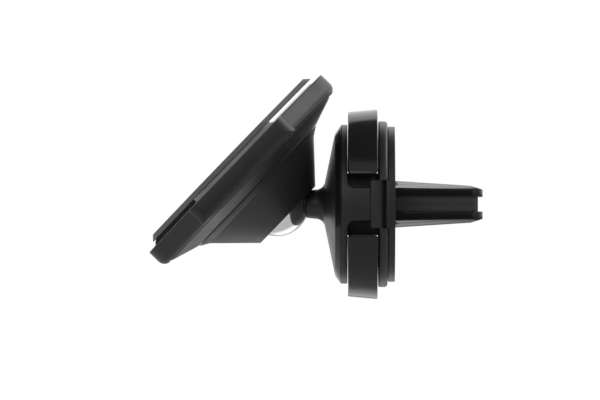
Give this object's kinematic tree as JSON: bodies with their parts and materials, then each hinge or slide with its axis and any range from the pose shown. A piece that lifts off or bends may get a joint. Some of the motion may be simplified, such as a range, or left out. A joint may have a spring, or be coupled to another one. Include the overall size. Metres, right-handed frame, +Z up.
{
  "type": "car phone mount",
  "caption": "Magnetic phone mount: an eight-sided head tilts, swings and spins on a ball joint, and the base's sprung jaws clip on an air-vent blade when the side buttons are let go.",
  "frame": {"origin": "on the base's axis at the back face of the back cover, between the closed jaws", "axes": "+X along the jaws into the vent, +Z up (upper button and upper jaw), -X towards the phone; the head is at its upper tilt stop"},
  "size_m": [0.0884, 0.066, 0.0595],
  "materials": {
    "pad_rubber": "matt",
    "jaw_rubber": "matt",
    "satin_black": "satin",
    "gloss_black": "gloss",
    "inner_plastic": "as moulded",
    "polished_metal": "polished",
    "ball_chrome": "mirror",
    "steel": "zinc plated",
    "spring_steel": "drawn wire",
    "magnet_nickel": "nickel plated"
  },
  "bodies": {
    "base": {"front_cone": "satin_black", "front_ring": "gloss_black", "body_shell": "satin_black", "rear_frame": "satin_black", "back_cover": "satin_black", "body_screws": "steel", "upper_springs": "spring_steel", "lower_springs": "spring_steel"},
    "stud": {"ball_stud": "ball_chrome", "stud_washer": "steel", "stud_nut": "steel"},
    "cup": {"pressure_cup": "inner_plastic"},
    "head": {"face_pad": "pad_rubber", "accent_ring": "polished_metal", "rim_tray": "satin_black", "magnet_carrier": "inner_plastic", "ring_magnets": "magnet_nickel", "shield_plate": "steel", "tray_screws": "steel", "rear_housing": "satin_black", "spring_plate": "steel", "plate_screws": "steel", "spring_washer": "steel"},
    "upper_squeeze": {"upper_button": "gloss_black", "upper_slider": "inner_plastic", "lower_jaw": "gloss_black", "lower_jaw_pad": "jaw_rubber"},
    "lower_squeeze": {"lower_button": "gloss_black", "lower_slider": "inner_plastic", "upper_jaw": "gloss_black", "upper_jaw_pad": "jaw_rubber"}
  },
  "joints": [
    {"name": "head_swing", "type": "hinge", "parent": "base", "child": "stud", "pos_m": [-0.0312, 0, 0], "axis": [1, 0, 0], "continuous": true},
    {"name": "head_tilt", "type": "hinge", "parent": "stud", "child": "cup", "pos_m": [-0.0312, 0, 0], "axis": [0, 1, 0], "range_deg": [-88, 0]},
    {"name": "head_spin", "type": "hinge", "parent": "cup", "child": "head", "pos_m": [-0.0312, 0, 0], "axis": [-0.7193, 0, 0.6947], "continuous": true},
    {"name": "upper_button_press", "type": "slide", "parent": "base", "child": "upper_squeeze", "axis": [0, 0, -1], "range_m": [0, 0.003], "stiffness_N_per_m": 500, "springref_m": -0.004, "deforming": ["upper_springs"]},
    {"name": "lower_button_press", "type": "slide", "parent": "base", "child": "lower_squeeze", "axis": [0, 0, 1], "range_m": [0, 0.003], "stiffness_N_per_m": 500, "springref_m": -0.004, "deforming": ["lower_springs"]}
  ]
}
